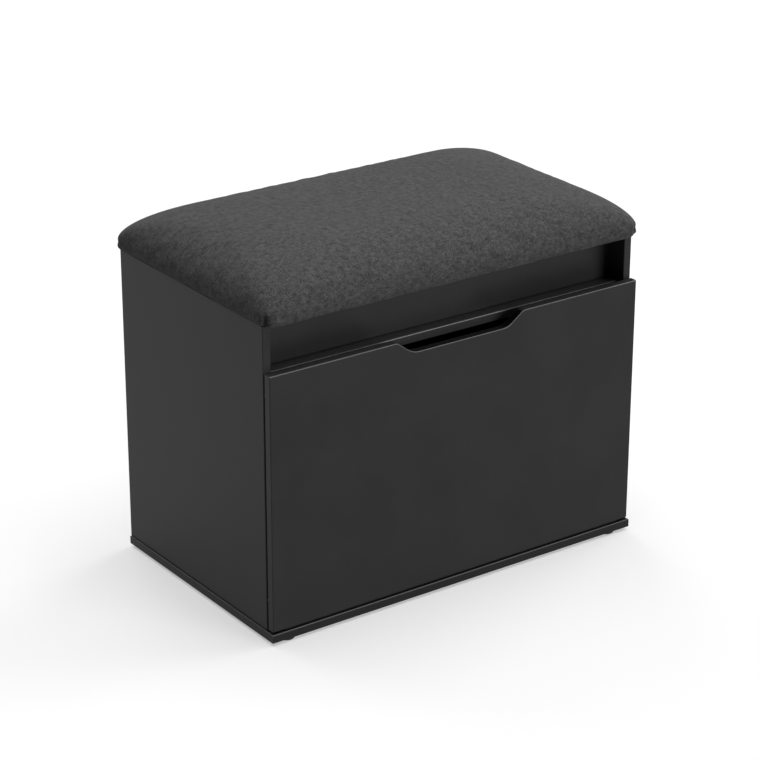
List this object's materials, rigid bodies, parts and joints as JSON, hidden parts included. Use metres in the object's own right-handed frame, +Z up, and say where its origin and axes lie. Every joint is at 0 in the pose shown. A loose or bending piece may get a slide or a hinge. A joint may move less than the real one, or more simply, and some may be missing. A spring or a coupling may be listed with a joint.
{
  "type": "storage bench",
  "caption": "Upholstered storage bench with a lift-up padded seat over a storage box and a tilt-out shoe bin below.",
  "frame": {"origin": "on the floor under the centre of the overall width and depth", "axes": "+X along the width to the right of someone facing the front, +Y from front to back, +Z up"},
  "size_m": [0.603, 0.372, 0.502],
  "materials": {
    "dark_laminate": "satin dark grey melamine on particle board, edges banded",
    "hardboard": "thin painted hardboard",
    "raw_board": "raw particle board, hidden in the seat",
    "beech": "fluted beech dowels",
    "black_plastic": "moulded black plastic",
    "clear_rubber": "soft translucent dots",
    "zinc_steel": "zinc-plated steel",
    "black_steel": "blackened steel",
    "nickel_steel": "nickel-plated steel",
    "foam": "upholstery foam, hidden",
    "charcoal_fabric": "heathered charcoal linen-look weave",
    "dust_cloth": "thin black non-woven cloth"
  },
  "bodies": {
    "cabinet": {"base_board": "dark_laminate", "left_side_panel": "dark_laminate", "right_side_panel": "dark_laminate", "storage_floor": "dark_laminate", "storage_front_board": "dark_laminate", "rear_rail": "dark_laminate", "back_panel": "hardboard", "foot_glides": "black_plastic", "foot_screws": "zinc_steel", "base_screws": "zinc_steel", "cabinet_dowels": "beech", "cabinet_cams": "zinc_steel", "cabinet_cam_bolts": "zinc_steel", "back_panel_nails": "zinc_steel", "left_stop_block": "black_plastic", "right_stop_block": "black_plastic", "stop_block_screws": "zinc_steel", "flap_bumpers": "clear_rubber", "flap_hinge_base_leaf": "black_steel", "flap_hinge_base_screws": "black_steel", "flap_hinge_rod": "black_steel", "left_hinge_back_leaf": "nickel_steel", "right_hinge_back_leaf": "nickel_steel", "left_hinge_pin": "nickel_steel", "right_hinge_pin": "nickel_steel", "back_leaf_screws": "nickel_steel"},
    "flap": {"flap_front": "dark_laminate", "bin_left_side": "dark_laminate", "bin_right_side": "dark_laminate", "bin_floor": "dark_laminate", "bin_shelf": "dark_laminate", "bin_back": "dark_laminate", "bin_cams": "zinc_steel", "bin_cam_bolts": "zinc_steel", "bin_dowels": "beech", "bin_screws": "zinc_steel", "flap_hinge_flap_leaf": "black_steel", "flap_hinge_flap_screws": "black_steel"},
    "seat": {"lid_board": "raw_board", "seat_foam": "foam", "seat_cover": "charcoal_fabric", "dust_cover": "dust_cloth", "cover_staples": "zinc_steel", "left_hinge_seat_leaf": "nickel_steel", "right_hinge_seat_leaf": "nickel_steel", "seat_leaf_screws": "nickel_steel"}
  },
  "joints": [
    {"name": "flap_tilt", "type": "hinge", "parent": "cabinet", "child": "flap", "pos_m": [0, -0.1812, 0.0174], "axis": [1, 0, 0], "range_deg": [0, 45]},
    {"name": "seat_lift", "type": "hinge", "parent": "cabinet", "child": "seat", "pos_m": [0, 0.1772, 0.4337], "axis": [-1, 0, 0], "range_deg": [0, 95]}
  ]
}
